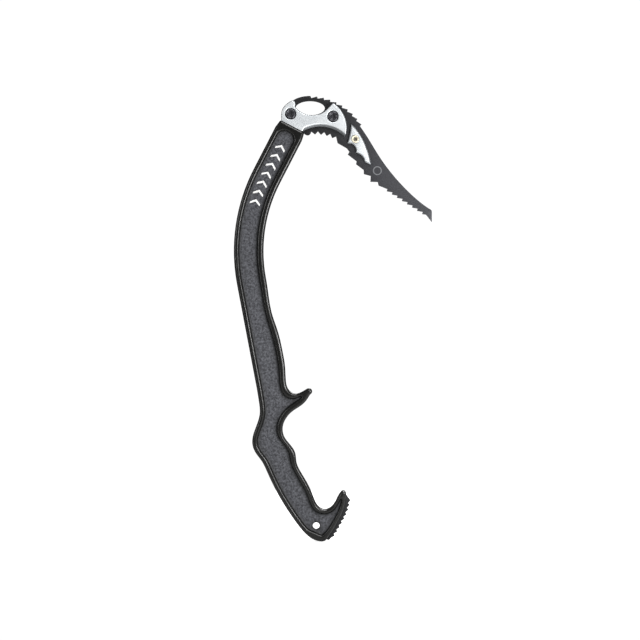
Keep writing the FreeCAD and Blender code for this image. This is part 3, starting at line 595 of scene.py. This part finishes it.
def makePlates():
    look = plateLook
    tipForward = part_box("pick")[1][0]
    mark = (tipForward + look["markFromTip"][0], 0, look["tipHeight"] + look["markFromTip"][1])
    pick = bevelledPlate("toolSteelPick", "pick", look["pickEdge"])
    coat = phosphatedSteel("black phosphated tool steel", ("#28282B", "#3D3E42"), "#77797D",
                           (mark, look["markRadius"], look["markWidth"]), look["bladeFrom"])
    finishPiece(pick, coat, ["pick"], edgeTurns["plateCrease"])
    spike = bevelledPlate("serratedSpike", "spike_plate", look["spikeEdge"])
    spikeCoat = phosphatedSteel("black phosphated spike steel", ("#18181A", "#28292B"), "#55575A")
    finishPiece(spike, spikeCoat, ["spike_plate"], edgeTurns["plateCrease"])
    # the weights' rounded edges are painted darker with the shade colour, as painted shade
    shot = blastedMetal("bead blasted stainless steel", ("#CFD3D6", "#E5E8EA"), "#85888B", 0.5)
    for side in ("left", "right"):
        weight = bevelledPlate("pickWeight." + side, "pick_weight_" + side, look["weightEdge"])
        finishPiece(weight, shot, ["pick_weight_" + side],
                    edgeTurns["plateCrease"])
    print("plates: pick", len(pick.data.polygons), "faces")


makePlates()

# ---- screws and nuts ----


def loftRings(name, axis, rings, corners=96):
    # closed skin over rings about an axis along y; a ring is (y, radius) or (y, radius, shape),
    # where shape turns an angle into a share of the radius
    made = bmesh.new()
    loops = []
    for ring in rings:
        shape = ring[2] if len(ring) > 2 else (lambda angle: 1.0)
        loop = []
        for corner in range(corners):
            angle = 2 * math.pi * corner / corners
            reach = ring[1] * shape(angle)
            loop.append(made.verts.new((axis[0] + reach * math.cos(angle), ring[0],
                                        axis[1] + reach * math.sin(angle))))
        loops.append(loop)
    for first, second in zip(loops, loops[1:]):
        for corner in range(corners):
            following = (corner + 1) % corners
            made.faces.new((first[corner], first[following], second[following], second[corner]))
    made.faces.new(loops[0])
    made.faces.new(loops[-1])
    bmesh.ops.recalc_face_normals(made, faces=made.faces)
    return newObject(name, made)


def hexShape(angle):
    sector = (angle + math.pi / 6) % (math.pi / 3) - math.pi / 6
    return math.cos(math.pi / 6) / math.cos(sector)


def starShape(angle):
    return 1 + 0.16 * math.cos(6 * angle)


screwLook = {
    # socket size across its corners, its depth, bevel of the head's rim, dish round the socket
    "headBolt": {"socket": 5.8 * mm, "deep": 2.2 * mm, "rim": 0.8 * mm, "dish": 0.45 * mm,
                 "headTall": 3.0 * mm, "shank": 3.0 * mm, "shape": hexShape},
    "weightScrew": {"socket": 4.4 * mm, "deep": 1.3 * mm, "rim": 0.7 * mm, "dish": 0.15 * mm,
                    "headTall": 2.0 * mm, "shank": 1.5 * mm, "shape": starShape},
}


def makeScrew(name, node, look, material):
    low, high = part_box(node)
    axis = ((low[0] + high[0]) / 2, (low[2] + high[2]) / 2)
    radius = (high[0] - low[0]) / 2
    top, end = low[1], high[1]
    socket = look["socket"] / 2
    rings = [
        (top + look["deep"] + 0.3 * mm, 0.2 * mm),
        (top + look["deep"], socket * 0.9, look["shape"]),
        (top + look["dish"] + 0.25 * mm, socket, look["shape"]),
        (top + look["dish"], socket * 1.12),
        (top + look["dish"], socket * 1.3),
        (top + 0.06 * mm, radius - look["rim"] - 0.35 * mm),
        (top, radius - look["rim"]),
        (top + 0.25 * look["rim"], radius - 0.3 * look["rim"]),
        (top + look["rim"], radius),
        (top + look["headTall"] - 0.15 * mm, radius),
        (top + look["headTall"], radius - 0.15 * mm),
        (top + look["headTall"], look["shank"]),
        (end - 0.5 * mm, look["shank"]),
        (end, look["shank"] - 0.5 * mm),
    ]
    piece = loftRings(name, axis, rings)
    finishPiece(piece, material, [node], edgeTurns["fastenerCrease"])


nutLook = {
    "headNut": {"rim": 0.8 * mm, "headTall": 3.0 * mm, "wall": 1.0 * mm, "bore": 3.1 * mm},
    "weightNut": {"rim": 0.6 * mm, "headTall": 2.0 * mm, "wall": 1.0 * mm, "bore": 1.6 * mm},
}


def makeNut(name, node, look, material):
    low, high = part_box(node)
    axis = ((low[0] + high[0]) / 2, (low[2] + high[2]) / 2)
    radius = (high[0] - low[0]) / 2
    face, end = high[1], low[1]
    sleeve = look["bore"] - 0.1 * mm + look["wall"]
    rings = [
        (end + 0.2 * mm, look["bore"]), (end, look["bore"] + 0.2 * mm),
        (end, sleeve - 0.2 * mm), (end + 0.2 * mm, sleeve),
        (face - look["headTall"], sleeve), (face - look["headTall"], radius - 0.15 * mm),
        (face - look["headTall"] + 0.15 * mm, radius), (face - look["rim"], radius),
        (face - 0.25 * look["rim"], radius - 0.3 * look["rim"]), (face, radius - look["rim"]),
        (face, look["bore"] + 0.6 * mm), (face - 0.5 * mm, look["bore"]),
    ]
    made = loftRings(name, axis, rings)
    # the bore joins the last ring to the first, so the two end caps come off
    shell = bmesh.new()
    shell.from_mesh(made.data)
    caps = [part for part in shell.faces if len(part.verts) > 4]
    bmesh.ops.delete(shell, geom=caps, context="FACES_ONLY")
    rims = [edge for edge in shell.edges if edge.is_boundary]
    bmesh.ops.bridge_loops(shell, edges=rims)
    bmesh.ops.recalc_face_normals(shell, faces=shell.faces)
    shell.to_mesh(made.data)
    shell.free()
    finishPiece(made, material, [node], edgeTurns["fastenerCrease"])


def makeFasteners():
    oxide = plainMetal("black oxide screw steel", ("#333336", "#4C4C50"), 0.38, 0.06)
    brass = plainMetal("satin nickel brass", ("#C9C1AA", "#E2DCC8"), 0.5, 0.05,
                       (7.75 * mm, 7.3 * mm))
    ground = plainMetal("ground pin steel", ("#8E9093", "#A9ABAE"), 0.3, 0.04)
    for place in ("rear", "front"):
        makeScrew("headBolt." + place, "head_bolt_" + place, screwLook["headBolt"], oxide)
        makeNut("headNut." + place, "head_nut_" + place, nutLook["headNut"], oxide)
    makeScrew("weightScrew", "weight_screw", screwLook["weightScrew"], brass)
    makeNut("weightNut", "weight_nut", nutLook["weightNut"], brass)
    for node in ("spike_pin_lower", "spike_pin_upper"):
        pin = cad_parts[node]
        for slot in pin.material_slots:
            slot.material = ground
    print("fasteners: 3 screws, 3 nuts, 2 pins")


makeFasteners()

# ---- printed chevrons ----

printLook = {
    "bowCentre": (107.7 * mm, 308.0 * mm),
    "pathRadius": 184.1 * mm,  # middle of the side panel
    "fromDegrees": 17.0,
    "toDegrees": 27.3,
    "straight": 34.0 * mm,
    "count": 7,
    "width": 11.5 * mm,
    "stroke": 2.3 * mm,
    "rise": 4.2 * mm,
    "inkFilm": 0.16 * mm,
}


def chevronMesh(look):
    # one flat chevron that points along +x, wide along y, standing on z = 0
    made = bmesh.new()
    half, rise, stroke, film = look["width"] / 2, look["rise"], look["stroke"], look["inkFilm"]
    outline = [(0, half), (rise, 0), (0, -half), (-stroke, -half), (rise - stroke * 1.15, 0),
               (-stroke, half)]
    face = made.faces.new([made.verts.new((x, y, 0)) for x, y in outline])
    raised = bmesh.ops.extrude_face_region(made, geom=[face])
    lifted = [part for part in raised["geom"] if isinstance(part, bmesh.types.BMVert)]
    bmesh.ops.translate(made, verts=lifted, vec=(0, 0, film))
    bmesh.ops.recalc_face_normals(made, faces=made.faces)
    return newObject("chevronStamp", made)


def printPath(look, side):
    # up the middle of the panel: round the end of the bow, then straight
    points = []
    steps = 8
    for number in range(steps + 1):
        angle = math.radians(look["fromDegrees"]
                             + (look["toDegrees"] - look["fromDegrees"]) * number / steps)
        points.append(Vector((look["bowCentre"][0] - look["pathRadius"] * math.cos(angle),
                              side * (rubberLook["panelLevel"] - 0.05 * mm),
                              look["bowCentre"][1] + look["pathRadius"] * math.sin(angle))))
    points.append(points[-1] + upperWay * look["straight"])
    data = bpy.data.curves.new("printPath", "CURVE")
    data.dimensions = "3D"
    spline = data.splines.new("POLY")
    spline.points.add(len(points) - 1)
    for target, point in zip(spline.points, points):
        target.co = (*point, 1)
    path = bpy.data.objects.new("printPath", data)
    bpy.context.scene.collection.objects.link(path)
    return path


def chevronTree(stamp, ink):
    # even chevrons along a path, each turned to its direction and facing out of the panel
    tree = bpy.data.node_groups.new("chevronRow", "GeometryNodeTree")
    sockets = tree.interface
    sockets.new_socket("Geometry", in_out="INPUT", socket_type="NodeSocketGeometry")
    countSocket = sockets.new_socket("Count", in_out="INPUT", socket_type="NodeSocketInt")
    sideSocket = sockets.new_socket("Outward", in_out="INPUT", socket_type="NodeSocketVector")
    sockets.new_socket("Geometry", in_out="OUTPUT", socket_type="NodeSocketGeometry")
    source = addNode(tree, "NodeGroupInput")
    points = addNode(tree, "GeometryNodeCurveToPoints", {"mode": "COUNT"},
                     {"Curve": source.outputs["Geometry"], "Count": source.outputs["Count"]})
    faceOut = addNode(tree, "FunctionNodeAlignRotationToVector", {"axis": "Z"},
                      {"Vector": source.outputs["Outward"]})
    turn = addNode(tree, "FunctionNodeAlignRotationToVector", {"axis": "X", "pivot_axis": "Z"},
                   {"Rotation": faceOut.outputs["Rotation"], "Vector": points.outputs["Tangent"]})
    shape = addNode(tree, "GeometryNodeObjectInfo", {"Object": stamp})
    placed = addNode(tree, "GeometryNodeInstanceOnPoints", None,
                     {"Points": points.outputs["Points"], "Instance": shape.outputs["Geometry"],
                      "Rotation": turn.outputs["Rotation"]})
    real = addNode(tree, "GeometryNodeRealizeInstances", None,
                   {"Geometry": placed.outputs["Instances"]})
    coated = addNode(tree, "GeometryNodeSetMaterial", {"Material": ink},
                     {"Geometry": real.outputs["Geometry"]})
    addNode(tree, "NodeGroupOutput", None, {"Geometry": coated.outputs["Geometry"]})
    return tree, countSocket.identifier, sideSocket.identifier


def makePrint():
    look = printLook
    ink = padPrintInk()
    stamp = chevronMesh(look)
    tree, countKey, outwardKey = chevronTree(stamp, ink)
    for name, side in (("near", -1), ("far", 1)):
        path = printPath(look, side)
        row = path.modifiers.new("chevronRow", "NODES")
        row.node_group = tree
        row[countKey] = look["count"]
        row[outwardKey] = (0.0, float(side), 0.0)
        graph = bpy.context.evaluated_depsgraph_get()
        mesh = bpy.data.meshes.new_from_object(path.evaluated_get(graph))
        piece = bpy.data.objects.new("printedChevrons." + name, mesh)
        bpy.context.scene.collection.objects.link(piece)
        bpy.data.objects.remove(path)
        finishPiece(piece, ink, [], edgeTurns["printCrease"])
        print("print:", name, len(mesh.polygons), "faces")
    bpy.data.objects.remove(stamp)


makePrint()
